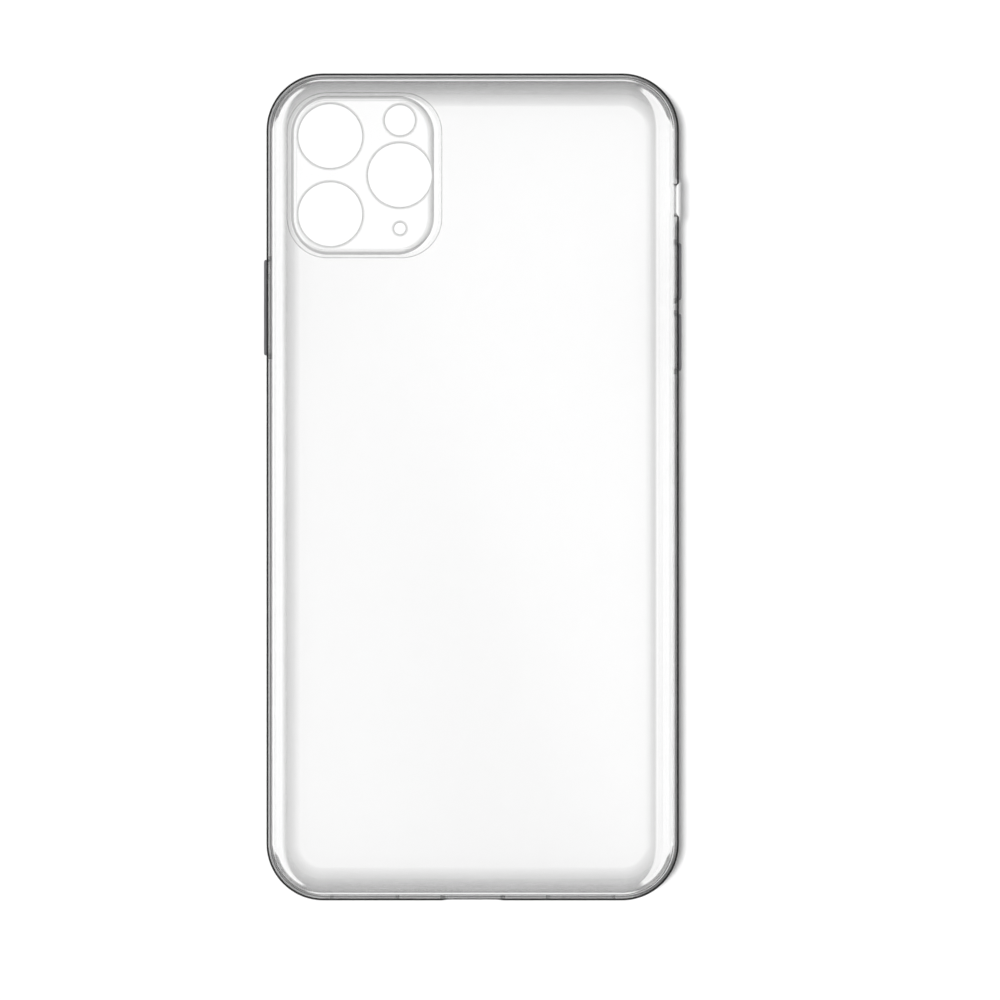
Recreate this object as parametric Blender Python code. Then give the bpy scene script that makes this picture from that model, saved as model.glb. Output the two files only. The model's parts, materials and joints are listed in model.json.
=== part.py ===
"""Clear hybrid phone case: a soft transparent bumper frame round a rigid transparent back panel, a raised
camera guard set in the panel, and three sprung side buttons, each a hard cap on a soft key pad.

It lies as it rests on a table: screen side down on its lip, +Z out of the back, +Y to the phone's top end,
+X to the side with the ring/silent window. The origin is the middle of the footprint. Units are metres.
"""

import math

import bmesh
import bpy
from mathutils import Matrix, Vector

MM = 0.001

# The phone that it holds.
PHONE_WIDTH = 77.8 * MM
PHONE_LENGTH = 158.0 * MM
PHONE_DEPTH = 8.1 * MM

# The walls round it.
WALL = 1.0 * MM
BACK = 1.4 * MM
LIP = 1.0 * MM
CORNER_RADIUS = 11.0 * MM
SIDE_BAND = 3.4 * MM  # height of the straight part of the side wall, at the phone's mid depth
BACK_ROUND = 6.5 * MM  # how far in the rounded back edge reaches
LIP_ROUND = 3.0 * MM  # the same at the screen side
LIP_REACH = 3.9 * MM  # outside of the wall to the edge of the screen mouth
LIP_EDGE = 0.35 * MM  # radius on that edge

# The bonded seam between the frame and the panel, square to the curved back edge.
SEAM_IN = 1.05 * MM
SEAM_GAP = 0.15 * MM

# Openings in the frame.
SILENT_LENGTH, SILENT_CORNER = 6.3 * MM, 0.9 * MM
SILENT_FROM_TOP = 24.5 * MM
SILENT_LOW, SILENT_HIGH = 0.4 * MM, 0.9 * MM  # from the phone's front and back to the window
PORT_LENGTH, PORT_HEIGHT, PORT_CORNER = 12.6 * MM, 5.2 * MM, 1.9 * MM
SLOT_LENGTH, SLOT_HEIGHT = 13.4 * MM, 2.8 * MM
SLOT_FROM_SIDE = 19.0 * MM

# The holes of the camera guard: two lenses in the left column, one in the right, a flash and a microphone.
LENS_RADIUS, FLASH_RADIUS, MIC_RADIUS = 6.25 * MM, 3.0 * MM, 1.2 * MM
LENS_WEB, COLUMN_WEB = 2.6 * MM, 0.95 * MM  # between the lens holes along and across
LENS_END_EDGE, LEFT_EDGE, RIGHT_EDGE = 2.2 * MM, 2.15 * MM, 1.9 * MM  # lens holes to the guard's foot
FLASH_EDGE, MIC_EDGE = 2.4 * MM, 4.5 * MM

# The guard round them, and the window that it sits in.
GUARD_CORNER = 7.8 * MM
GUARD_SIDE_INSET, GUARD_TOP_INSET = 4.0 * MM, 3.8 * MM
GUARD_PROUD = 1.2 * MM
GUARD_PLATE = 0.8 * MM
GUARD_ROUND = 0.8 * MM
GUARD_SPIGOT = 0.75 * MM  # wall of the ring that stands in the window
LEDGE_WIDTH = 0.8 * MM
LEDGE_DEPTH = 0.6 * MM
FIT_GAP = 0.15 * MM

# The buttons. Each is (name, side, distance of its middle from the top end, length).
LEFT, RIGHT = -1, 1
BUTTONS = (
    ("power", LEFT, 45.3 * MM, 18.5 * MM),
    ("volume_up", RIGHT, 38.3 * MM, 11.0 * MM),
    ("volume_down", RIGHT, 52.0 * MM, 11.0 * MM),
)
BUTTON_HEIGHT = 3.0 * MM
BUTTON_CORNER = 1.3 * MM
BUTTON_PROUD = 0.5 * MM
BUTTON_ROUND = 0.3 * MM
BUTTON_TRAVEL = 0.25 * MM
BUTTON_CLEARANCE = 0.12 * MM
PAD_FLANGE, PAD_MARGIN = 0.3 * MM, 0.6 * MM
KEY_RECESS, KEY_RIM = 0.12 * MM, 0.6 * MM
LEG_RADIUS, LEG_LENGTH, LEG_INSET = 0.45 * MM, 0.16 * MM, 3.2 * MM
CONTACT_GAP = 0.05 * MM

CORNER_STEPS = 7
EDGE_STEPS = 5
ROUND_STEPS = 4
HOLE_SIDES = 40
PAST = 2.0 * MM  # how far a cutter runs past what it cuts

# What follows from those.
HALF_WIDTH = PHONE_WIDTH / 2 + WALL
HALF_LENGTH = PHONE_LENGTH / 2 + WALL
HEIGHT = LIP + PHONE_DEPTH + BACK
MID_Z = LIP + PHONE_DEPTH / 2
BAND_LOW, BAND_HIGH = MID_Z - SIDE_BAND / 2, MID_Z + SIDE_BAND / 2
BACK_RISE = HEIGHT - BAND_HIGH
CEILING = HEIGHT - BACK
SEAM_ANGLE = math.acos(1 - SEAM_IN / BACK_ROUND)
GUARD_WIDTH = LEFT_EDGE + 4 * LENS_RADIUS + COLUMN_WEB + RIGHT_EDGE
GUARD_LENGTH = 2 * LENS_END_EDGE + 4 * LENS_RADIUS + LENS_WEB
GUARD_AT = Vector((
    -HALF_WIDTH + GUARD_SIDE_INSET + GUARD_WIDTH / 2,
    HALF_LENGTH - GUARD_TOP_INSET - GUARD_LENGTH / 2,
    0,
))
LEFT_COLUMN = -GUARD_WIDTH / 2 + LEFT_EDGE + LENS_RADIUS
RIGHT_COLUMN = GUARD_WIDTH / 2 - RIGHT_EDGE - LENS_RADIUS
LENS_ROW = GUARD_LENGTH / 2 - LENS_END_EDGE - LENS_RADIUS
FLASH_ROW = GUARD_LENGTH / 2 - FLASH_EDGE - FLASH_RADIUS
MIC_ROW = -GUARD_LENGTH / 2 + MIC_EDGE + MIC_RADIUS
LEDGE_Z = HEIGHT - LEDGE_DEPTH
GUARD_TOP = HEIGHT + GUARD_PROUD
SILENT_HEIGHT = PHONE_DEPTH - SILENT_LOW - SILENT_HIGH
SILENT_Z = LIP + SILENT_LOW + SILENT_HEIGHT / 2
POCKET_FLOOR = WALL - PAD_FLANGE - BUTTON_TRAVEL - CONTACT_GAP  # depth of the web that holds the pad in
CAP_SEAT = POCKET_FLOOR / 2  # how deep the cap stands in that web at rest
CUT_DEPTH = WALL + 1.6 * MM  # side openings go this deep, through the curved parts of the wall


def clear_scene():
    for thing in list(bpy.data.objects):
        bpy.data.objects.remove(thing)


def collection(name):
    made = bpy.data.collections.new(name)
    bpy.context.scene.collection.children.link(made)
    return made


def material(name, colour, roughness, metallic=0.0, clear=0.0):
    made = bpy.data.materials.new(name)
    made.use_nodes = True
    shader = made.node_tree.nodes["Principled BSDF"]
    shader.inputs["Base Color"].default_value = (*colour, 1.0)
    shader.inputs["Roughness"].default_value = roughness
    shader.inputs["Metallic"].default_value = metallic
    shader.inputs["Transmission Weight"].default_value = clear
    return made


def section(half_x, half_y, radius, z, steps=CORNER_STEPS):
    """The outline of a rounded rectangle at height z, anticlockwise."""
    points = []
    for quarter, (sx, sy) in enumerate(((1, 1), (-1, 1), (-1, -1), (1, -1))):
        centre = Vector((sx * (half_x - radius), sy * (half_y - radius), z))
        for step in range(steps + 1):
            angle = (quarter + step / steps) * math.pi / 2
            points.append(centre + radius * Vector((math.cos(angle), math.sin(angle), 0)))
    return points


def case_ring(inset, z):
    """The case's outline moved in by inset, at height z."""
    return section(HALF_WIDTH - inset, HALF_LENGTH - inset, CORNER_RADIUS - inset, z)


def guard_ring(inset, z):
    return section(GUARD_WIDTH / 2 - inset, GUARD_LENGTH / 2 - inset, GUARD_CORNER - inset, z)


def back_edge(start, end, depth):
    """Points (in, up) of the curved back edge between two angles, at a depth of 0 outside to 1 inside."""
    width, rise = BACK_ROUND - depth * WALL, BACK_RISE - depth * BACK
    for step in range(EDGE_STEPS + 1):
        angle = start + (end - start) * step / EDGE_STEPS
        yield depth * WALL + width * (1 - math.cos(angle)), BAND_HIGH + rise * math.sin(angle)


def lip_edge(start, end, depth):
    """The same for the curved edge at the screen side."""
    width, drop = LIP_ROUND - depth * WALL, BAND_LOW - depth * LIP
    for step in range(EDGE_STEPS + 1):
        angle = start + (end - start) * step / EDGE_STEPS
        yield depth * WALL + width * (1 - math.cos(angle)), BAND_LOW - drop * math.sin(angle)


def lip_nose():
    """The round edge of the screen mouth, from the table up to the phone's glass."""
    for centre, quarter in ((LIP_EDGE, 0), (LIP - LIP_EDGE, 1)):
        for step in range(ROUND_STEPS + 1):
            angle = (quarter - 1 + step / ROUND_STEPS) * math.pi / 2
            inset = LIP_REACH - LIP_EDGE * (1 - math.cos(angle))
            yield inset, centre + LIP_EDGE * math.sin(angle)


def round_over(width, steps=ROUND_STEPS):
    """Points (in, up) of a quarter circle, from the side at (0, 0) to the flat at (width, width)."""
    for step in range(steps + 1):
        angle = step / steps * math.pi / 2
        yield width * (1 - math.cos(angle)), width * math.sin(angle)


def loft(name, outlines, into, skin=None, hoop=False):
    """A closed solid through outlines of as many points each. A hoop runs on from the last to the first."""
    bm = bmesh.new()
    ring = [bm.verts.new(point) for point in outlines[0]]
    edges = [bm.edges.new(pair) for pair in zip(ring, ring[1:] + ring[:1])]
    if not hoop:
        bmesh.ops.contextual_create(bm, geom=edges)
    for outline in outlines[1:] + (outlines[:1] if hoop else []):
        raised = bmesh.ops.extrude_edge_only(bm, edges=edges)["geom"]
        edges = [item for item in raised if isinstance(item, bmesh.types.BMEdge)]
        above = {tuple(item.co): item for item in raised if isinstance(item, bmesh.types.BMVert)}
        ring = [above[tuple(point.co)] for point in ring]
        for point, place in zip(ring, outline):
            point.co = place
    if hoop:
        bmesh.ops.remove_doubles(bm, verts=bm.verts, dist=1e-6)
    else:
        bmesh.ops.contextual_create(bm, geom=edges)
    bmesh.ops.recalc_face_normals(bm, faces=bm.faces)
    return finished(name, bm, into, skin)


def finished(name, bm, into, skin):
    mesh = bpy.data.meshes.new(name)
    bm.to_mesh(mesh)
    bm.free()
    mesh.shade_smooth()
    mesh.set_sharp_from_angle(angle=math.radians(35))
    made = bpy.data.objects.new(name, mesh)
    into.objects.link(made)
    if skin:
        mesh.materials.append(skin)
    else:
        made.hide_render = True
        made.display_type = "WIRE"
    return made


def cylinder(name, radius, low, high, into):
    """An upright cylinder from height low to high, on the Z axis."""
    bm = bmesh.new()
    middle = Matrix.Translation((0, 0, (low + high) / 2))
    bmesh.ops.create_cone(
        bm, cap_ends=True, segments=HOLE_SIDES, radius1=radius, radius2=radius,
        depth=high - low, matrix=middle,
    )
    return finished(name, bm, into, None)


def block(name, half_x, half_y, radius, low, high, into, parent=None):
    """A rounded rectangular prism, from low to high along Z."""
    made = loft(name, [section(half_x, half_y, radius, z) for z in (low, high)], into)
    made.parent = parent
    return made


def boolean(target, tool, operation="DIFFERENCE"):
    change = target.modifiers.new(f"{operation.lower()} {tool.name}", "BOOLEAN")
    change.operation = operation
    change.object = tool


def side_axis(name, side, y, into):
    """An empty on the outside of a long wall: its Z points out of the wall, its Y along the case."""
    empty = bpy.data.objects.new(name, None)
    empty.empty_display_size = 3 * MM
    empty.location = (side * HALF_WIDTH, y, MID_Z)
    empty.rotation_euler.y = side * math.pi / 2
    into.objects.link(empty)
    return empty


def end_axis(name, x, into):
    """The same on the bottom end's wall: its Z points out of the wall, its X across the case."""
    empty = bpy.data.objects.new(name, None)
    empty.location = (x, -HALF_LENGTH, MID_Z)
    empty.rotation_euler.x = math.pi / 2
    into.objects.link(empty)
    return empty


def seam_angle(side):
    """The angle round the back edge of the seam's frame side, -1, or panel side, 1."""
    return SEAM_ANGLE + side * SEAM_GAP / 2 / BACK_RISE


def make_bumper_frame(parts, skin):
    """A hoop: down the outside, round the lip and up the inside to the seam."""
    flat, seam = math.pi / 2, seam_angle(-1)
    profile = [*back_edge(seam, 0, 0), *lip_edge(0, flat, 0), *lip_nose()]
    profile += [*lip_edge(flat, 0, 1), *back_edge(0, seam, 1)]
    return loft("bumper_frame", [case_ring(*point) for point in profile], parts, skin, hoop=True)


def make_back_panel(parts, cutters, skin):
    """A shallow lid with a window, and a ledge round that window."""
    flat, seam = math.pi / 2, seam_angle(1)
    profile = [*back_edge(flat, seam, 1), *back_edge(seam, flat, 0)]
    panel = loft("back_panel", [case_ring(*point) for point in profile], parts, skin)
    spans = (
        ("guard_rebate", 0, LEDGE_Z, HEIGHT + PAST),
        ("guard_window", LEDGE_WIDTH, CEILING - PAST, HEIGHT + PAST),
    )
    for name, inset, low, high in spans:
        cutter = loft(name, [guard_ring(inset - FIT_GAP, z) for z in (low, high)], cutters)
        cutter.location = GUARD_AT
        boolean(panel, cutter)
    return panel


def make_camera_guard(parts, cutters, skin):
    """A shallow cup: a spigot in the window, a foot on the ledge and a plate with five holes."""
    foot = LEDGE_Z + FIT_GAP
    rings = [guard_ring(LEDGE_WIDTH, z) for z in (CEILING, foot)] + [guard_ring(0, foot)]
    shoulder = GUARD_TOP - GUARD_ROUND
    rings += [guard_ring(inset, shoulder + up) for inset, up in round_over(GUARD_ROUND)]
    guard = loft("camera_guard", rings, parts, skin)
    guard.location = GUARD_AT
    inside = LEDGE_WIDTH + GUARD_SPIGOT
    recess = [guard_ring(inside, CEILING - PAST), guard_ring(inside, GUARD_TOP - GUARD_PLATE)]
    cutter = loft("guard_recess", recess, cutters)
    cutter.location = GUARD_AT
    boolean(guard, cutter)
    holes = (
        ("lens_top", LEFT_COLUMN, LENS_ROW, LENS_RADIUS),
        ("lens_bottom", LEFT_COLUMN, -LENS_ROW, LENS_RADIUS),
        ("lens_side", RIGHT_COLUMN, 0, LENS_RADIUS),
        ("flash", RIGHT_COLUMN, FLASH_ROW, FLASH_RADIUS),
        ("microphone", RIGHT_COLUMN, MIC_ROW, MIC_RADIUS),
    )
    for name, x, y, radius in holes:
        cutter = cylinder(f"{name}_hole", radius, CEILING, GUARD_TOP + PAST, cutters)
        cutter.location = GUARD_AT + Vector((x, y, 0))
        boolean(guard, cutter)
    return guard


def make_button(name, side, from_top, length, frame, parts, cutters, cap_skin, pad_skin):
    """A cap outside and a flanged pad inside, which slide together in the wall along the empty's Z."""
    slide = side_axis(f"{name}_button_slide", side, HALF_LENGTH - from_top, parts)
    half_x, half_y = BUTTON_HEIGHT / 2, length / 2
    flange = half_x + PAD_MARGIN, half_y + PAD_MARGIN, BUTTON_CORNER + PAD_MARGIN
    window = [size + BUTTON_CLEARANCE for size in (half_x, half_y, BUTTON_CORNER)]
    pocket = [size + BUTTON_CLEARANCE for size in flange]
    boolean(frame, block(f"{name}_window", *window, -WALL, PAST, cutters, slide))
    boolean(frame, block(f"{name}_pocket", *pocket, -CUT_DEPTH, -POCKET_FLOOR, cutters, slide))

    shoulder = BUTTON_PROUD - BUTTON_ROUND
    rings = [section(half_x, half_y, BUTTON_CORNER, -CAP_SEAT)]
    for inset, up in round_over(BUTTON_ROUND):
        rings.append(section(half_x - inset, half_y - inset, BUTTON_CORNER - inset, shoulder + up))
    cap = loft(f"{name}_button_cap", rings, parts, cap_skin)
    cap.parent = slide

    pad_front, flange_front = -CAP_SEAT - CONTACT_GAP, -POCKET_FLOOR - CONTACT_GAP
    pad_back = flange_front - PAD_FLANGE
    rings = [section(*flange, z) for z in (pad_back, flange_front)]
    rings += [section(half_x, half_y, BUTTON_CORNER, z) for z in (flange_front, pad_front)]
    pad = loft(f"{name}_button_pad", rings, parts, pad_skin)
    pad.parent = slide
    key = [size - KEY_RIM for size in flange]
    boolean(pad, block(f"{name}_key_recess", *key, pad_back - PAST, pad_back + KEY_RECESS, cutters, slide))

    for end in ("low", "high"):
        y = (half_y - LEG_INSET) * (1 if end == "high" else -1)
        leg = cylinder(f"{name}_{end}_leg", LEG_RADIUS, -CAP_SEAT - LEG_LENGTH, -CAP_SEAT + LEG_LENGTH, cutters)
        hole = cylinder(f"{name}_{end}_leg_hole", LEG_RADIUS + CONTACT_GAP, -WALL - PAST, PAST, cutters)
        for tool in (leg, hole):
            tool.location.y = y
            tool.parent = slide
        boolean(cap, leg, "UNION")
        boolean(pad, hole)


def make_frame_openings(frame, cutters):
    """The ring/silent window on the right, and the port and two sound slots in the bottom end."""
    silent = side_axis("silent_axis", RIGHT, HALF_LENGTH - SILENT_FROM_TOP, cutters)
    silent.location.z = SILENT_Z
    size = SILENT_HEIGHT / 2, SILENT_LENGTH / 2, SILENT_CORNER
    boolean(frame, block("silent_window", *size, -CUT_DEPTH, PAST, cutters, silent))
    slot_at = HALF_WIDTH - SLOT_FROM_SIDE
    for name, x, length, height, corner in (
        ("port", 0, PORT_LENGTH, PORT_HEIGHT, PORT_CORNER),
        ("left_sound_slot", -slot_at, SLOT_LENGTH, SLOT_HEIGHT, 0.49 * SLOT_HEIGHT),
        ("right_sound_slot", slot_at, SLOT_LENGTH, SLOT_HEIGHT, 0.49 * SLOT_HEIGHT),
    ):
        axis = end_axis(f"{name}_axis", x, cutters)
        boolean(frame, block(f"{name}_cut", length / 2, height / 2, corner, -CUT_DEPTH, PAST, cutters, axis))


def main():
    clear_scene()
    parts, cutters = collection("phone_case"), collection("cutters")
    soft = material("clear_soft_plastic", (0.93, 0.94, 0.94), 0.12, clear=1.0)
    rigid = material("clear_rigid_plastic", (0.96, 0.97, 0.97), 0.04, clear=1.0)
    dark = material("button_plastic", (0.07, 0.07, 0.075), 0.35)

    frame = make_bumper_frame(parts, soft)
    make_frame_openings(frame, cutters)
    make_back_panel(parts, cutters, rigid)
    make_camera_guard(parts, cutters, rigid)
    for name, side, from_top, length in BUTTONS:
        make_button(name, side, from_top, length, frame, parts, cutters, dark, soft)


main()
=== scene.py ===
import json
import math

import bpy
import numpy as np
from mathutils import Matrix, Vector


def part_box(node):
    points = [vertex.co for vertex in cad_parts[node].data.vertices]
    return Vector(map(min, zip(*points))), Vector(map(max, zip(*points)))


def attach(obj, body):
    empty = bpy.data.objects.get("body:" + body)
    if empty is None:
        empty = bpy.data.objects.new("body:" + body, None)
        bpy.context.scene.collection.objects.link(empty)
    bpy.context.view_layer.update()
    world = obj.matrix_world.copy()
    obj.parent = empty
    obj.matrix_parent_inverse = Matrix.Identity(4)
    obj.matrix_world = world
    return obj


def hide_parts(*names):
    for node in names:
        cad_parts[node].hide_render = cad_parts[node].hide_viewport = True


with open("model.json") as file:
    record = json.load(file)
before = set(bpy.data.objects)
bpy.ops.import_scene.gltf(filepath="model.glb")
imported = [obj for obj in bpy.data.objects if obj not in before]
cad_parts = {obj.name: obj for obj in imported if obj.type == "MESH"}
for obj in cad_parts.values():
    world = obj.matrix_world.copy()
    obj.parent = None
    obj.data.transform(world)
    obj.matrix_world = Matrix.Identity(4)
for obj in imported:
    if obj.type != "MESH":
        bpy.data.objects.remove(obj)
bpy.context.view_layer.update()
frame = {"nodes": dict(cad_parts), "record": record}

MM = 0.001


def box_of(node):
    """The low and high corners of a node, its middle and its half size."""
    low, high = (np.array(corner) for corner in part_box(node))
    return low, high, (low + high) / 2, (high - low) / 2


# Sizes and places that the frame holds.
RECORD = frame["record"]
OPENINGS = {item["name"]: np.array(item["box_m"]) for item in RECORD["physics"]["openings"]}
MOUNTS = {item["name"]: item["pos_m"] for item in RECORD["mounts"]}
HALF_WIDTH, HALF_LENGTH = box_of("bumper_frame")[1][:2]
_, GUARD_HIGH, GUARD_CENTRE, GUARD_HALF = box_of("camera_guard")
HEIGHT, CEILING = MOUNTS["back_face"][2], MOUNTS["phone_seat"][2]
BACK = HEIGHT - CEILING

# The frame: walls, the upright band between its curved edges, the screen lip and the seam to the panel.
WALL, LIP = 1.0 * MM, 1.0 * MM
CORNER_RADIUS = 11.0 * MM
BAND_LOW, BAND_HIGH = 3.35 * MM, 6.75 * MM
MID_Z = (BAND_LOW + BAND_HIGH) / 2
BACK_ROUND, LIP_ROUND = 6.5 * MM, 3.0 * MM
LIP_REACH, LIP_EDGE = 3.9 * MM, 0.35 * MM
SEAM_IN, SEAM_GAP = 1.05 * MM, 0.04 * MM

# Openings in the walls. The tools that cut them start this far inside the outer face.
TOOL_DEPTH = 2.6 * MM
SILENT_Z, SILENT_HALF_HIGH, SILENT_HALF_LONG, SILENT_CORNER = 4.8 * MM, 3.4 * MM, 3.15 * MM, 0.9 * MM
PORT_HALF_LONG, PORT_HALF_HIGH, PORT_CORNER = 6.3 * MM, 2.6 * MM, 1.9 * MM
SLOT_X, SLOT_HALF_LONG, SLOT_HALF_HIGH, SLOT_CORNER = 20.9 * MM, 6.7 * MM, 1.4 * MM, 1.37 * MM
SIDE_MOUTH, END_MOUTH, BUTTON_MOUTH = 0.2 * MM, 0.25 * MM, 0.15 * MM

# The camera guard, its window in the panel and its holes.
GUARD_CORNER, GUARD_PLATE = 7.8 * MM, 0.8 * MM
GUARD_SHELF, GUARD_LEAN = np.array([1.2, 0.65]) * MM, np.array([-0.4, 0.0]) * MM
GUARD_CROWN, GUARD_HOLLOW = 1.3 * MM, 0.1 * MM
FOOT_IN, FOOT_UP = 0.3 * MM, 0.28 * MM
LEDGE_WIDTH, LEDGE_DEPTH, SPIGOT, FIT_GAP = 0.8 * MM, 0.6 * MM, 0.75 * MM, 0.06 * MM
LEDGE_Z = HEIGHT - LEDGE_DEPTH
LENS_RADIUS, FLASH_RADIUS, MIC_RADIUS = 6.25 * MM, 3.0 * MM, 1.2 * MM
BORE_LESS, HOLE_MOUTH, MIC_DROP = 0.1 * MM, 0.6 * MM, 10.3 * MM

# The buttons.
BUTTON_CORNER, BUTTON_ROUND, BUTTON_PLAY = 1.3 * MM, 0.35 * MM, 0.12 * MM
POCKET_CORNER, POCKET_DEPTH = BUTTON_CORNER + 0.72 * MM, 0.4 * MM
CAP_BACK, CAP_BEVEL = -0.2 * MM, np.array([0.1, 0.05]) * MM

BUTTONS = ("power", "volume_up", "volume_down")

# Shares of the light that the clear plastics take: painted shade in the soft frame's band and at its rim, and
# in the hard back painted shade at its edge, a faint wide painted shade inside it, an even faint tint over
# its flat and painted shade at its corners. The last is for plastic seen edge on, partly its greater depth
# and partly painted shade.
BAND_PAINTED_SHADE, RIM_PAINTED_SHADE = 0.46, 0.92
EDGE_PAINTED_SHADE, WIDE_PAINTED_SHADE, BASE_SMOKE, CORNER_PAINTED_SHADE = 0.35, 0.03, 0.028, 0.16
GRAZING_DEPTH_AND_SHADE = 0.4

# The left and right edges of the back trade over in its middle, where the clear blade in the painted shade
# changes its reach, and its ends along its length, where the painted edge shade grows lighter towards the
# bottom.
MIDDLE, ENDS = 10 * MM, 70 * MM

# The soft start of the clear blade in the back's painted edge shade, and the painted highlight line of white
# frost at the seam.
BLADE_SOFT = 0.2 * MM
HIGHLIGHT_IN, HIGHLIGHT_OUT, HIGHLIGHT_STRENGTH = np.array([1.22, 1.3]) * MM, np.array([1.5, 1.6]) * MM, 0.9

# The wall's inner face, where the soft plastic's painted band shade ends and its painted rim weakens.
INNER_FACE = np.array([0.93, 0.98]) * MM

# The gloss of clear plastic, face on and what it gains edge on.
GLOSS, EDGE_GLOSS = 0.035, 0.6

# The camera stands over this point, and the sheen's edges cross the back between these.
CAMERA_AT, CAMERA_UP = (5.28 * MM, -2.53 * MM), 2.4
VIEW_ACROSS, SENSOR = 193.6 * MM, 36.0
SHEEN = [(-0.0118, -0.09), (-0.0118, 0.09), (0.0337, -0.09), (-0.0342, 0.09)]

# The stage: the table, the lamps' powers and the two cards overhead.
TABLE_HALF, TABLE_DROP = 3.0, 0.02 * MM
SKY, KEY_POWER, EDGE_POWER = 0.4, 73.0, 16.0
EDGE_LIGHT_UP, CARD_UP, CARD_END = 0.61, 1.5, 0.3
CARD_RIGHT, CARD_LEFT = 1.5, 0.95

# The black card in the wall: how far in its faces are, its foot and height, and the part beside the window.
FLAG_IN, FLAG_FOOT, FLAG_LEAST, FLAG_MORE = np.array([0.45, 0.75]) * MM, 0.6 * MM, 0.8 * MM, 6.9 * MM
HANG_FOOT, HANG_HIGH, HANG_HALF = 5.2 * MM, 5.6 * MM, 4 * MM


# Surfaces ---------------------------------------------------------------------------------------

def outline(half_x, half_y, radius, corner=24, pitch=4 * MM):
    """Anticlockwise round a rounded rectangle, as points and their outward normals.

    Each corner is centre + radius * (cos a, sin a), and a straight run follows it. The outline moved in by d
    is point - d * normal.
    """
    signs = np.array([(1, 1), (-1, 1), (-1, -1), (1, -1)])
    centres = signs * (half_x - radius, half_y - radius)
    points, normals = [], []
    for quarter, centre in enumerate(centres):
        angle = (quarter + np.linspace(0, 1, corner + 1)) * np.pi / 2
        arc = np.stack([np.cos(angle), np.sin(angle)], axis=1)
        run = centres[(quarter + 1) % 4] - centre
        count = max(1, round(float(np.linalg.norm(run)) / pitch))
        along = np.arange(1, count)[:, None] / count
        points += [centre + radius * arc, centre + radius * arc[-1] + along * run]
        normals += [arc, np.repeat(arc[-1:], count - 1, axis=0)]
    return np.concatenate(points), np.concatenate(normals)


def sweep(path, profile):
    """A profile of (in, up) carried round a path: path[j] - in[i] * normal[j], at the height up[i]."""
    points, normals = path
    inset, height = np.array(profile).T
    flat = points[None] - inset[:, None, None] * normals[None]
    return np.dstack([flat, np.repeat(height[:, None], len(points), axis=1)])


def solid(name, grid, hoop=False):
    """A closed skin over a grid of points whose columns run round a loop.

    The rows join up too on a hoop. Otherwise flat caps close the first and the last row. The sum of each
    face's normal times its way from the middle tells whether the skin is inside out.
    """
    rows, columns = grid.shape[:2]
    index = np.arange(rows * columns).reshape(rows, columns)
    beside, above = np.roll(index, -1, axis=1), np.roll(index, -1, axis=0)
    both = np.roll(beside, -1, axis=0)
    quads = np.stack([index, beside, both, above], axis=2)
    quads = quads if hoop else quads[:-1]
    faces = quads.reshape(-1, 4).tolist()
    if not hoop:
        faces += [index[0, ::-1].tolist(), index[-1].tolist()]
    places = grid.reshape(-1, 3)
    mesh = bpy.data.meshes.new(name)
    mesh.from_pydata(places.tolist(), [], faces)
    corners = places[quads.reshape(-1, 4)]
    lean = np.einsum("ij,ij->i", corners[:, 0] - places.mean(axis=0),
                     np.cross(corners[:, 2] - corners[:, 0], corners[:, 3] - corners[:, 1]))
    if lean.sum() < 0:
        mesh.flip_normals()
    mesh.update()
    return shown(name, mesh)


def shown(name, mesh):
    piece = bpy.data.objects.new(name, mesh)
    bpy.context.scene.collection.objects.link(piece)
    return piece


def placed(piece, origin, across, along, out):
    """Moves a mesh from its own axes to across, along and out, at origin."""
    turn = Matrix((across, along, out)).transposed().to_4x4()
    piece.data.transform(Matrix.Translation(origin) @ turn)
    return piece


def cut(piece, *tools):
    """The piece less the tools, which are used up."""
    for tool in tools:
        change = piece.modifiers.new(tool.name, "BOOLEAN")
        change.operation, change.solver, change.object = "DIFFERENCE", "EXACT", tool
    whole = piece.evaluated_get(bpy.context.evaluated_depsgraph_get())
    left = bpy.data.meshes.new_from_object(whole)
    piece.modifiers.clear()
    piece.data = left
    for tool in tools:
        bpy.data.objects.remove(tool)
    return piece


def smooth(piece, crease=32):
    """Smooth shading with creases, where the flats keep their own direction."""
    piece.data.shade_smooth()
    piece.data.set_sharp_from_angle(angle=math.radians(crease))
    flats = piece.modifiers.new("flats", "WEIGHTED_NORMAL")
    flats.keep_sharp, flats.weight = True, 90


def arc(width, rise, start, end, count):
    """Points (width * (1 - cos a), rise * sin a) of an ellipse's quarter between two angles."""
    angle = np.linspace(start, end, count)
    return np.stack([width * (1 - np.cos(angle)), rise * np.sin(angle)], axis=1)


def back_edge(start, end, depth, count=20):
    """The curved back edge at a depth of 0 outside to 1 inside: both semi-axes shrink by the wall there."""
    edge = arc(BACK_ROUND - depth * WALL, HEIGHT - BAND_HIGH - depth * BACK, start, end, count)
    return edge + (depth * WALL, BAND_HIGH)


def lip_edge(start, end, depth, count=14):
    """The curved screen-side edge, in the same way, downwards."""
    edge = arc(LIP_ROUND - depth * WALL, depth * LIP - BAND_LOW, start, end, count)
    return edge + (depth * WALL, BAND_LOW)


def lip_nose(count=7):
    """Two quarter circles, from the table up round the edge of the screen mouth."""
    low = np.linspace(-np.pi / 2, 0, count)
    high = np.linspace(0, np.pi / 2, count)
    centre = LIP_REACH - LIP_EDGE
    return np.concatenate([
        np.stack([centre + LIP_EDGE * np.cos(low), LIP_EDGE * (1 + np.sin(low))], axis=1),
        np.stack([centre + LIP_EDGE * np.cos(high), LIP - LIP_EDGE * (1 - np.sin(high))], axis=1),
    ])


def plug(name, half_x, half_y, radius, stations):
    """A rounded rectangular tool: its outline grown by each pair's first value, at its second's height."""
    path = outline(half_x, half_y, radius, corner=10)
    return solid(name, sweep(path, [(-grow, z) for grow, z in stations]))


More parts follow.
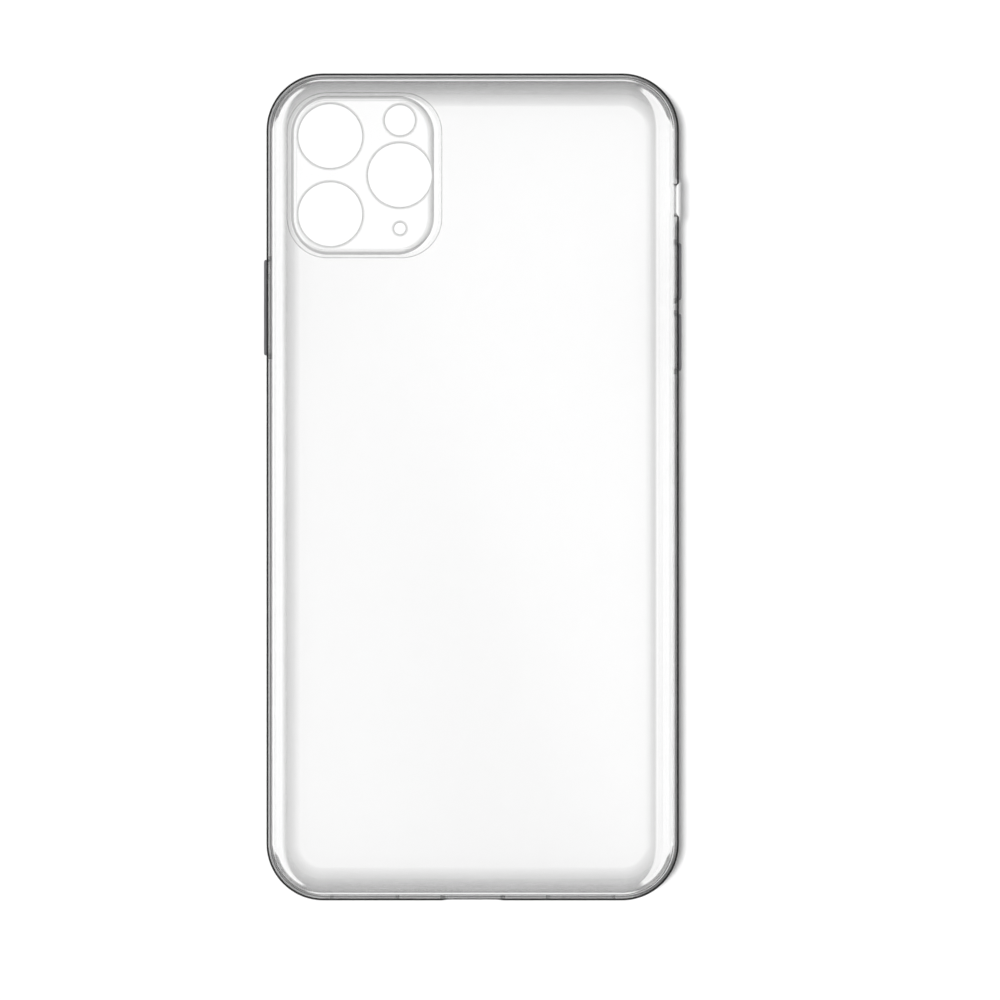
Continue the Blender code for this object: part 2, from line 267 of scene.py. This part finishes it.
def drill(name, radius, stations, centre, count=96):
    """A turned tool: circles of radius + grow at each height."""
    angle = np.linspace(0, 2 * np.pi, count, endpoint=False)
    ring = np.stack([np.cos(angle), np.sin(angle)], axis=1)
    tool = solid(name, sweep((ring * radius, ring), [(-grow, z) for grow, z in stations]))
    tool.data.transform(Matrix.Translation((*centre, 0)))
    return tool


def flare(size, surface, deep, past=1.2 * MM, turn=78, count=6):
    """Stations of a straight hole whose mouth opens at a surface: an arc of a size and a turn in degrees."""
    angle = np.linspace(0, math.radians(turn), count)
    mouth = np.stack([size * (1 - np.cos(angle)), surface - size + size * np.sin(angle)], axis=1)
    run = mouth[-1] + (mouth[-1] - mouth[-2]) * past / size
    return [(0.0, deep), *map(tuple, mouth), tuple(run)]


# The frame --------------------------------------------------------------------------------------

def centre_of(name):
    return OPENINGS[name].mean(axis=0)


def side_tool(name, side, y, z, half_high, half_long, radius, stations):
    """A tool that cuts into a side wall, its stations measured outwards from the wall's face."""
    tool = plug(name, half_high, half_long, radius, stations)
    return placed(tool, (side * HALF_WIDTH, y, z), (0, 0, -side), (0, 1, 0), (side, 0, 0))


def end_tool(name, x, half_long, half_high, radius, stations):
    """The same for the bottom end."""
    tool = plug(name, half_long, half_high, radius, stations)
    return placed(tool, (x, -HALF_LENGTH, MID_Z), (1, 0, 0), (0, 0, 1), (0, -1, 0))


def button_tools(name):
    """The window that the cap stands in, and the pocket behind it for the pad's flange."""
    _, _, middle, half = box_of(f"{name}_button_cap")
    pad_half = box_of(f"{name}_button_pad")[3]
    side = np.sign(middle[0])
    window = side_tool(
        f"{name}_window", side, middle[1], middle[2], half[2] + BUTTON_PLAY, half[1] + BUTTON_PLAY,
        BUTTON_CORNER + BUTTON_PLAY, flare(BUTTON_MOUTH, 0, -WALL))
    pocket = side_tool(
        f"{name}_pocket", side, middle[1], middle[2], pad_half[2] + BUTTON_PLAY, pad_half[1] + BUTTON_PLAY,
        POCKET_CORNER, [(0, -TOOL_DEPTH), (0, -POCKET_DEPTH)])
    return window, pocket


def seam_angle(side):
    """The angle round the back edge of the seam's frame side, -1, or panel side, 1."""
    return math.acos(1 - SEAM_IN / BACK_ROUND) + side * SEAM_GAP / 2 / (HEIGHT - BAND_HIGH)


def make_bumper_frame():
    """A hoop: down the outside, round the lip and up the inside to the seam."""
    flat, seam = math.pi / 2, seam_angle(-1)
    outside = [back_edge(seam, 0, 0), lip_edge(0, flat, 0)]
    inside = [lip_edge(flat, 0, 1), back_edge(0, seam, 1)]
    profile = np.concatenate([*outside, lip_nose(), *inside])
    keep = np.linalg.norm(profile - np.roll(profile, 1, axis=0), axis=1) > 1e-6
    path = outline(HALF_WIDTH, HALF_LENGTH, CORNER_RADIUS)
    piece = solid("clear_bumper", sweep(path, profile[keep]), hoop=True)
    silent_y, end_stations = centre_of("silent_window")[1], flare(END_MOUTH, 0, -TOOL_DEPTH)
    tools = [
        side_tool("silent", 1, silent_y, SILENT_Z, SILENT_HALF_HIGH, SILENT_HALF_LONG, SILENT_CORNER,
                  flare(SIDE_MOUTH, 0, -TOOL_DEPTH)),
        end_tool("port", 0, PORT_HALF_LONG, PORT_HALF_HIGH, PORT_CORNER, end_stations),
    ]
    tools += [end_tool(f"slot_{side}", side * SLOT_X, SLOT_HALF_LONG, SLOT_HALF_HIGH, SLOT_CORNER,
                       end_stations) for side in (-1, 1)]
    for name in BUTTONS:
        tools += button_tools(name)
    cut(piece, *tools)
    smooth(piece)
    return piece


# The panel and the guard ------------------------------------------------------------------------

def make_back_panel():
    """A shallow lid, closed by the flat back and the phone's seat, less the guard's stepped window."""
    flat, seam = math.pi / 2, seam_angle(1)
    profile = np.concatenate([back_edge(flat, seam, 1, 26), back_edge(seam, flat, 0, 26)])
    piece = solid("clear_back", sweep(outline(HALF_WIDTH, HALF_LENGTH, CORNER_RADIUS), profile))
    step, past = FIT_GAP - LEDGE_WIDTH, 2 * MM
    stations = [(step, CEILING - past), (step, LEDGE_Z), (FIT_GAP, LEDGE_Z), (FIT_GAP, HEIGHT + past)]
    tool = plug("window", GUARD_HALF[0], GUARD_HALF[1], GUARD_CORNER, stations)
    tool.data.transform(Matrix.Translation((*GUARD_CENTRE[:2], 0)))
    cut(piece, tool)
    smooth(piece)
    return piece


def make_camera_guard():
    """A cup turned over: the ceiling of its recess, down the spigot, out over the foot and up a soft flank.

    The flank is a parabola, in = width * t, up = rise * (1 - (1 - t)^2). It starts from the outline scaled to
    leave the shelf and moved by the lean.
    """
    inside, foot, top = LEDGE_WIDTH + SPIGOT, LEDGE_Z + FIT_GAP, GUARD_HIGH[2]
    t = np.linspace(0, 1, 14)
    foot_round = arc(FOOT_IN, FOOT_UP, 0, np.pi / 2, 6) + (0, HEIGHT)
    shelf_up = HEIGHT + FOOT_UP + 0.01 * MM
    flank = np.stack([GUARD_CROWN * t, shelf_up + (top - shelf_up) * (1 - (1 - t) ** 2)], axis=1)
    hollow = arc(GUARD_HOLLOW, GUARD_HOLLOW, np.pi / 2, 0, 4) + (inside, top - GUARD_PLATE - GUARD_HOLLOW)
    spigot = [(inside, CEILING), (LEDGE_WIDTH, CEILING), (LEDGE_WIDTH, foot), (0, foot)]
    points, normals = outline(GUARD_HALF[0], GUARD_HALF[1], GUARD_CORNER, pitch=2 * MM)
    shelf = points * (1 - GUARD_SHELF / GUARD_HALF[:2]) + GUARD_LEAN
    grid = np.concatenate([
        sweep((points, normals), np.concatenate([hollow, spigot, foot_round])),
        sweep((shelf, normals), flank)])
    piece = solid("clear_camera_guard", grid)
    piece.data.transform(Matrix.Translation((*GUARD_CENTRE[:2], 0)))
    flash = centre_of("flash_hole")[:2]
    holes = [(centre_of(f"lens_hole_{place}")[:2], LENS_RADIUS) for place in ("top", "bottom", "side")]
    holes += [(flash, FLASH_RADIUS), (np.array([flash[0], GUARD_CENTRE[1] - MIC_DROP]), MIC_RADIUS)]
    tools = [drill(f"hole_{number}", radius - BORE_LESS, flare(HOLE_MOUTH, top, CEILING), spot)
             for number, (spot, radius) in enumerate(holes)]
    cut(piece, *tools)
    smooth(piece)
    return piece


# The buttons ------------------------------------------------------------------------------------

def make_cap(name):
    """A rounded rectangle carried up a soft shoulder: in = r (1 - cos a), up = r sin a, then a flat crown."""
    low, high, middle, half = box_of(f"{name}_button_cap")
    side = float(np.sign(middle[0]))
    outer = abs(low[0]) if side < 0 else high[0]
    shoulder = arc(BUTTON_ROUND, BUTTON_ROUND, 0, np.pi / 2, 10) + (0, outer - HALF_WIDTH - BUTTON_ROUND)
    profile = np.concatenate([[(CAP_BEVEL[0], CAP_BACK), (0, CAP_BACK + CAP_BEVEL[1])], shoulder])
    path = outline(half[2], half[1], BUTTON_CORNER, corner=12, pitch=1 * MM)
    piece = solid(f"{name}_cap", sweep(path, profile))
    placed(piece, (side * HALF_WIDTH, middle[1], middle[2]), (0, 0, -side), (0, 1, 0), (side, 0, 0))
    smooth(piece, 40)
    return piece


# Finishes ---------------------------------------------------------------------------------------

class Signal:
    """A node's output that takes part in sums."""

    def __init__(self, finish, socket):
        self.finish, self.socket = finish, socket

    def math(self, operation, *others):
        return self.finish.node("ShaderNodeMath", {"operation": operation}, self, *others)

    def __add__(self, other):
        return self.math("ADD", other)

    def __sub__(self, other):
        return self.math("SUBTRACT", other)

    def __mul__(self, other):
        return self.math("MULTIPLY", other)

    def __truediv__(self, other):
        return self.math("DIVIDE", other)

    def __rsub__(self, other):
        return self.finish.node("ShaderNodeMath", {"operation": "SUBTRACT"}, other, self)

    __radd__ = __add__
    __rmul__ = __mul__


class Finish:
    """A material being built."""

    def __init__(self, name):
        self.material = bpy.data.materials.new(name)
        self.material.use_nodes = True
        self.tree = self.material.node_tree
        self.tree.nodes.clear()

    def node(self, kind, settings=None, *inputs, output=0, at=None, **named):
        """A node of that kind with its settings, then the values or links of its sockets.

        Sockets go by their order, by the numbers in at, or by name with _ for a space.
        """
        made = self.tree.nodes.new(kind)
        for key, value in (settings or {}).items():
            setattr(made, key, value)
        for key, value in [*enumerate(inputs), *(at or {}).items(), *named.items()]:
            socket = made.inputs[key if isinstance(key, int) else key.replace("_", " ")]
            if isinstance(value, Signal):
                self.tree.links.new(value.socket, socket)
            else:
                socket.default_value = value
        return Signal(self, made.outputs[output]) if made.outputs else None

    def smoothstep(self, value, low, high, start=0.0, end=1.0):
        smooth_step = {"interpolation_type": "SMOOTHSTEP"}
        return self.node("ShaderNodeMapRange", smooth_step, value, low, high, start, end)

    def ramp(self, value, low, high, start, end):
        return self.node("ShaderNodeMapRange", {"clamp": True}, value, low, high, start, end)

    def parts(self, vector):
        """The three parts of a vector."""
        first = self.node("ShaderNodeSeparateXYZ", None, vector)
        return [Signal(self, part) for part in first.socket.node.outputs]

    def position(self):
        """The point in the case's own axes, in metres, as a vector and as its three parts."""
        place = self.node("ShaderNodeTexCoord", output="Object")
        return place, self.parts(place)

    def facing(self):
        """How far the surface turns from the ray that meets it: 0 face on, 1 edge on."""
        return self.node("ShaderNodeLayerWeight", Blend=0.5, output="Facing")

    def edge_on(self):
        """Darkening of hard clear plastic seen edge on, partly its greater depth and partly painted shade."""
        return self.facing().math("POWER", 3.0) * GRAZING_DEPTH_AND_SHADE

    def slope(self):
        """How steep the surface is on the case: 0 where it lies flat, 1 where it stands up."""
        upright = self.parts(self.node("ShaderNodeTexCoord", output="Normal"))[2]
        return 1 - upright.math("ABSOLUTE")

    def inset(self, x, y, half_x, half_y, radius):
        """Distance in from a rounded rectangle: radius - |(|x| - a, |y| - b)|.

        Here a and b reach the corners' centres, and the vector keeps only what lies past them.
        """
        over_x = x.math("ABSOLUTE") - (half_x - radius)
        over_y = y.math("ABSOLUTE") - (half_y - radius)
        past_x, past_y = over_x.math("MAXIMUM", 0.0), over_y.math("MAXIMUM", 0.0)
        length = (past_x * past_x + past_y * past_y).math("SQRT")
        within = over_x.math("MAXIMUM", over_y).math("MINIMUM", 0.0)
        return radius - length - within

    def sideways(self, x, y):
        """The squared cosine of the outline's normal to the width: 1 along the sides, 0 at the ends."""
        past_x = (x.math("ABSOLUTE") - (HALF_WIDTH - CORNER_RADIUS)).math("MAXIMUM", 0.0)
        past_y = (y.math("ABSOLUTE") - (HALF_LENGTH - CORNER_RADIUS)).math("MAXIMUM", 0.0)
        return past_x * past_x / (past_x * past_x + past_y * past_y + 1e-9)

    def bend(self, sideways):
        """How far the outline has turned from its sides, which grows with the sine of the angle up to 1.

        The second value is the same less the ends, so it is 1 only in the corners.
        """
        turned = self.ramp((1 - sideways).math("SQRT"), 0.0, 0.3, 0.0, 1.0)
        return turned, turned * self.smoothstep(sideways, 0.0, 0.15)

    def noise(self, place, scale, detail):
        return self.node("ShaderNodeTexNoise", Vector=place, Scale=scale, Detail=detail, Roughness=0.5)

    def grey(self, value, tint):
        """A colour from one value, times a tint. The Mix node's colours are its sockets 6 and 7."""
        colours = {6: (0.0, 0.0, 0.0, 1.0), 7: (*tint, 1.0)}
        return self.node("ShaderNodeMix", {"data_type": "RGBA"}, value, at=colours, output=2)

    def bump(self, height, distance, strength):
        return self.node("ShaderNodeBump", Strength=strength, Distance=distance, Height=height)

    def plastic(self, colour, roughness, **named):
        return self.node("ShaderNodeBsdfPrincipled", Base_Color=colour, Roughness=roughness, **named)

    def clear(self, tint_and_painted_shade, tint, roughness, normal, painted_highlight=None, gloss_less=None):
        """Clear plastic: straight through, less what the tint and painted shade take, under a gloss that
        grows edge on.

        The painted highlight adds a milky white skin, and the gloss drops where gloss_less is high.
        """
        window = self.node("ShaderNodeBsdfTransparent", Color=(tint, tint, tint, 1.0))
        dark = self.plastic((0.01, 0.01, 0.01, 1.0), 0.5, Specular_IOR_Level=0.0)
        body = self.node("ShaderNodeMixShader", None, tint_and_painted_shade, window, dark)
        gloss = self.plastic((1.0, 1.0, 1.0, 1.0), roughness, Metallic=1.0, Normal=normal)
        if painted_highlight:
            highlight_white = self.plastic((0.85, 0.85, 0.85, 1.0), 0.5)
            body = self.node("ShaderNodeMixShader", None, painted_highlight, body, highlight_white)
        share = self.facing().math("POWER", 5.0) * EDGE_GLOSS + GLOSS
        if gloss_less:
            share = share * (1 - gloss_less)
        return self.node("ShaderNodeMixShader", None, share, body, gloss)

    def finish(self, surface):
        self.node("ShaderNodeOutputMaterial", Surface=surface)
        return self.material


def clear_hard():
    """Polished polycarbonate with painted shade along its curved edge and at its corners, over an even faint
    tint.

    The painted shade thins in from the outline and is lighter towards the bottom end. A clear blade crosses
    it, from inside the seam to a reach that grows towards the sides, where the side lamps' reflection shows;
    it reaches further in on the right. The seam carries a painted highlight, a thin line of white frost.
    """
    skin = Finish("clear_polycarbonate")
    place, (x, y, _) = skin.position()
    inset = skin.inset(x, y, HALF_WIDTH, HALF_LENGTH, CORNER_RADIUS)
    sideways = skin.sideways(x, y)
    turned, bend = skin.bend(sideways)
    # Painted shade along the back's curved edge, thinning in from 1.2 to 6.6 mm, and a faint wide painted
    # shade out to 9 mm.
    edge = skin.ramp(inset, 1.2 * MM, 6.6 * MM, EDGE_PAINTED_SHADE, 0.0)
    wide_shade = skin.ramp(inset, 2.0 * MM, 9.0 * MM, WIDE_PAINTED_SHADE, 0.0)
    # The painted edge shade is lighter towards the bottom end, over an even faint tint; more painted shade
    # sits in the corners.
    tint_and_painted_shade = (edge + wide_shade) * skin.ramp(y, -ENDS, ENDS, 0.82, 1.0) + BASE_SMOKE
    tint_and_painted_shade = tint_and_painted_shade + bend * skin.ramp(inset, 1.3 * MM, 2.1 * MM, CORNER_PAINTED_SHADE, 0.0)
    # A clear blade takes the painted shade away where the side lamps' reflection shows, reaching further in
    # on the right.
    start = turned * MM + SEAM_IN
    reach = sideways.math("POWER", 0.7) * skin.ramp(x, -MIDDLE, MIDDLE, 0.95 * MM, 2.2 * MM) + 2.0 * MM
    fade = sideways * sideways * skin.ramp(x, -MIDDLE, MIDDLE, 1.0 * MM, 0.4 * MM) + BLADE_SOFT
    rising = skin.smoothstep((inset - start) / BLADE_SOFT, -1.0, 0.5)
    blade = rising * (1 - skin.smoothstep((inset - reach) / fade, 0.0, 1.0))
    tint_and_painted_shade = tint_and_painted_shade * (1 - blade * skin.smoothstep(sideways, 0.12, 0.25)) + skin.edge_on()
    # A painted highlight: a thin line of white frost just inside the seam, fainter in the corners.
    painted_highlight = skin.smoothstep(inset, *HIGHLIGHT_IN) * skin.smoothstep(inset, *HIGHLIGHT_OUT, HIGHLIGHT_STRENGTH, 0.0)
    ripple = skin.bump(skin.noise(place, 220.0, 1.0), 0.003 * MM, 0.2)
    return skin.finish(skin.clear(tint_and_painted_shade, 0.98, 0.09, ripple, painted_highlight * (1 - bend * 0.8)))


def clear_guard():
    """The same plastic in the camera guard, with painted shade down its flank and round the mouths of its
    holes.
    """
    skin = Finish("guard_polycarbonate")
    place, (x, y, _) = skin.position()
    x, y = x - GUARD_CENTRE[0], y - GUARD_CENTRE[1]
    inset = skin.inset(x, y, GUARD_HALF[0], GUARD_HALF[1], GUARD_CORNER)
    # Painted shade down the flank and round the hole mouths, where refraction would darken them; on the left
    # only the flank's outer 1.5 mm gets it.
    inner = skin.smoothstep(inset, 1.7 * MM, 1.9 * MM)
    near_side = skin.ramp(x, -12 * MM, -9 * MM, 1.0, 0.0)
    outer = 1 - skin.smoothstep(inset, 1.3 * MM, 1.5 * MM) * near_side
    slope = skin.slope()
    flank = (slope * slope * 6.5).math("MINIMUM", 0.5) * outer * (1 - inner)
    mouth = (slope.math("POWER", 0.5) * 0.75).math("MINIMUM", 0.46) * inner
    tint_and_painted_shade = (skin.edge_on() + 0.004).math("MAXIMUM", flank + mouth)
    ripple = skin.bump(skin.noise(place, 220.0, 1.0), 0.003 * MM, 0.2)
    return skin.finish(skin.clear(tint_and_painted_shade, 0.985, 0.09, ripple))


def clear_soft():
    """Clear soft elastomer with painted shade along the back's edge and a painted dark rim where it turns
    edge on.

    The band of painted shade is the wall's outside near the back, heavier in the corners. The rim is what
    turns edge on, weaker at mid height, and it takes away the gloss.
    """
    skin = Finish("clear_elastomer")
    place, (x, y, z) = skin.position()
    inset = skin.inset(x, y, HALF_WIDTH, HALF_LENGTH, CORNER_RADIUS)
    _, bend = skin.bend(skin.sideways(x, y))
    # Painted shade on the wall's outside near the back, heavier in the corners, and a painted dark rim where
    # the plastic turns edge on.
    outer = skin.smoothstep(inset, *INNER_FACE, 1.0, 0.0)
    band = skin.smoothstep(z, 5.0 * MM, 8.0 * MM, 0.1, BAND_PAINTED_SHADE) * outer
    band = band * skin.smoothstep(skin.slope(), 0.03, 0.2) * (bend * 0.3 + 1)
    turned = skin.facing() - skin.smoothstep(z, BAND_LOW, BAND_HIGH, 0.12, 0.0)
    rim = skin.smoothstep(turned, 0.435, 0.53) * skin.smoothstep(inset, *INNER_FACE, RIM_PAINTED_SHADE, 0.07)
    from_middle = (z - MID_Z).math("ABSOLUTE")
    rim = rim * skin.smoothstep(from_middle, 1.4 * MM, 2.4 * MM, 0.3, 1.0)
    ripple = skin.bump(skin.noise(place, 260.0, 1.0), 0.005 * MM, 0.3)
    return skin.finish(skin.clear(band.math("MAXIMUM", rim), 0.985, 0.04, ripple, gloss_less=rim))


def clear_pad():
    """The same elastomer in the buttons' thin pads, with a fine moulded grain."""
    skin = Finish("pad_elastomer")
    place, _ = skin.position()
    grain = skin.noise(place, 3000.0, 2.0)
    normal = skin.bump(grain, 0.006 * MM, 0.4)
    return skin.finish(skin.clear(grain * 0.04 + 0.02, 0.99, 0.12, normal))


def dark_hard():
    """Satin dark grey moulded plastic, a shade cooler than grey, under a fine grain."""
    skin = Finish("button_plastic")
    place, _ = skin.position()
    grain = skin.noise(place, 9000.0, 3.0)
    cloud = skin.noise(place, 700.0, 2.0)
    colour = skin.grey(cloud * 0.05 + 0.12, (1.0, 1.0, 1.05))
    normal = skin.bump(grain, 0.01 * MM, 0.6)
    return skin.finish(skin.plastic(colour, grain * 0.12 + 0.42, Specular_IOR_Level=0.25, Normal=normal))


# Stage ------------------------------------------------------------------------------------------

def make_floor():
    """A plain pale table under the case."""
    corners = [(x * TABLE_HALF, y * TABLE_HALF, 0) for x, y in ((-1, -1), (1, -1), (1, 1), (-1, 1))]
    mesh = bpy.data.meshes.new("table")
    mesh.from_pydata(corners, [], [(0, 1, 2, 3)])
    table = shown("table", mesh)
    skin = Finish("white_paper")
    paper = skin.plastic((0.92, 0.92, 0.92, 1.0), 0.9, Specular_IOR_Level=0.0)
    mesh.materials.append(skin.finish(paper))
    table.location.z = -TABLE_DROP


def softbox(name, place, target, wide, high, power, **flags):
    """A rectangular lamp at a place, turned to a target. The flags say which rays see it."""
    light = bpy.data.lights.new(name, "AREA")
    light.shape, light.size, light.size_y, light.energy = "RECTANGLE", wide, high, power
    holder = bpy.data.objects.new(name, light)
    holder.location = place
    holder.rotation_euler = (Vector(target) - Vector(place)).to_track_quat("-Z", "Y").to_euler()
    bpy.context.scene.collection.objects.link(holder)
    holder.visible_camera = False
    for key, value in flags.items():
        setattr(holder, key, value)


def make_camera():
    """Straight above the back, with the top end of the case up in the picture, through a long lens."""
    lens = bpy.data.cameras.new("camera")
    lens.sensor_width = SENSOR
    lens.lens = SENSOR * (CAMERA_UP - MID_Z) / VIEW_ACROSS
    holder = bpy.data.objects.new("camera", lens)
    holder.location = (*CAMERA_AT, CAMERA_UP)
    bpy.context.scene.collection.objects.link(holder)
    bpy.context.scene.camera = holder
    bpy.context.scene.cycles.transparent_max_bounces = 32
    lens.clip_start, lens.clip_end = 0.01, 20.0


def card(name, corners, strength):
    """A bright sheet overhead that only shows where it is mirrored."""
    mesh = bpy.data.meshes.new(name)
    mesh.from_pydata([(*corner, CARD_UP) for corner in corners], [], [tuple(range(len(corners)))])
    sheet = shown(name, mesh)
    skin = Finish(f"{name}_glow")
    mesh.materials.append(skin.finish(skin.node("ShaderNodeEmission", Strength=strength)))
    sheet.visible_camera = sheet.visible_diffuse = sheet.visible_transmission = sheet.visible_shadow = False
    return sheet


def flag(name, piece):
    """A piece of black card that only shades the table."""
    piece.name = name
    skin = Finish(f"{name}_card")
    piece.data.materials.append(skin.finish(skin.plastic((0, 0, 0, 1), 0.5)))
    piece.visible_camera = piece.visible_diffuse = piece.visible_glossy = piece.visible_transmission = False


def make_flags():
    """The clear plastic lets every lamp through, so black card shades the table as the wall does.

    It runs round inside the wall, low, and rises towards the side away from the key light. Beside the silent
    window it hangs above the light that comes through.
    """
    points, normals = outline(HALF_WIDTH, HALF_LENGTH, CORNER_RADIUS, pitch=1 * MM)
    beside = (points[:, 0] > 0) & (abs(points[:, 1] - centre_of("silent_window")[1]) < HANG_HALF)
    foot = np.where(beside, HANG_FOOT, FLAG_FOOT)
    rise = np.where(beside, HANG_HIGH, FLAG_LEAST + FLAG_MORE * np.clip(normals[:, 0], 0, 1) ** 1.5)
    near, far = FLAG_IN
    grid = sweep((points, normals), [(near, 0.0), (far, 0.0), (far, 1.0), (near, 1.0)])
    grid[:, :, 2] = foot + grid[:, :, 2] * rise
    flag("wall_flag", solid("wall_flag", grid, hoop=True))


def make_sheen():
    """Two cards overhead. Seen from the camera, their edges cross the back where the sheen's do."""
    spread = 1 + (CARD_UP - HEIGHT) / (CAMERA_UP - HEIGHT)
    seen = [[CAMERA_AT[0] + (x - CAMERA_AT[0]) * spread, CAMERA_AT[1] + (y - CAMERA_AT[1]) * spread]
            for x, y in SHEEN]
    left_low, left_high, low, high = seen
    card("card_right", [low, (CARD_END, low[1]), (CARD_END, high[1]), high], CARD_RIGHT)
    card("card_left", [(-CARD_END, left_low[1]), left_low, left_high, (-CARD_END, left_high[1])], CARD_LEFT)


def make_lights():
    """A white sky, a key lamp overhead on the left, and a long strip on each side for the edges' gloss."""
    world = bpy.data.worlds.new("studio")
    world.use_nodes = True
    sky = world.node_tree.nodes["Background"].inputs
    sky["Color"].default_value, sky["Strength"].default_value = (1.0, 1.0, 1.0, 1.0), SKY
    bpy.context.scene.world = world
    softbox("key_light", (-0.5, 0.03, 3.0), (0, 0, 0), 0.5, 0.5, KEY_POWER, visible_glossy=False)
    for side in (-1, 1):
        softbox(f"edge_light_{side}", (side * 0.9, 0.0, EDGE_LIGHT_UP), (side * 0.1, 0, EDGE_LIGHT_UP),
                5.0, 0.88, EDGE_POWER, visible_diffuse=False, visible_transmission=False)
    bpy.context.scene.view_settings.view_transform = "Standard"


def main():
    """The three clear pieces of the case, then its buttons, then the stage."""
    make_camera()
    pale, dark = clear_pad(), dark_hard()
    for make, node, finish, slot in (
        (make_bumper_frame, "bumper_frame", clear_soft, "soft_clear"),
        (make_back_panel, "back_panel", clear_hard, "rigid_clear"),
        (make_camera_guard, "camera_guard", clear_guard, "rigid_clear"),
    ):
        piece = make()
        piece.data.materials.clear()
        piece.data.materials.append(finish())
        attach(piece, "shell")
        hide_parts(node)
        piece.visible_shadow = False
    for name in BUTTONS:
        cap = make_cap(name)
        cap.data.materials.append(dark)
        cap.visible_shadow = False
        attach(cap, f"{name}_button")
        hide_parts(f"{name}_button_cap")
        pad = frame["nodes"][f"{name}_button_pad"]
        for entry in pad.material_slots:
            entry.material = pale
        pad.visible_shadow = False
    make_floor()
    make_flags()
    make_lights()
    make_sheen()


main()
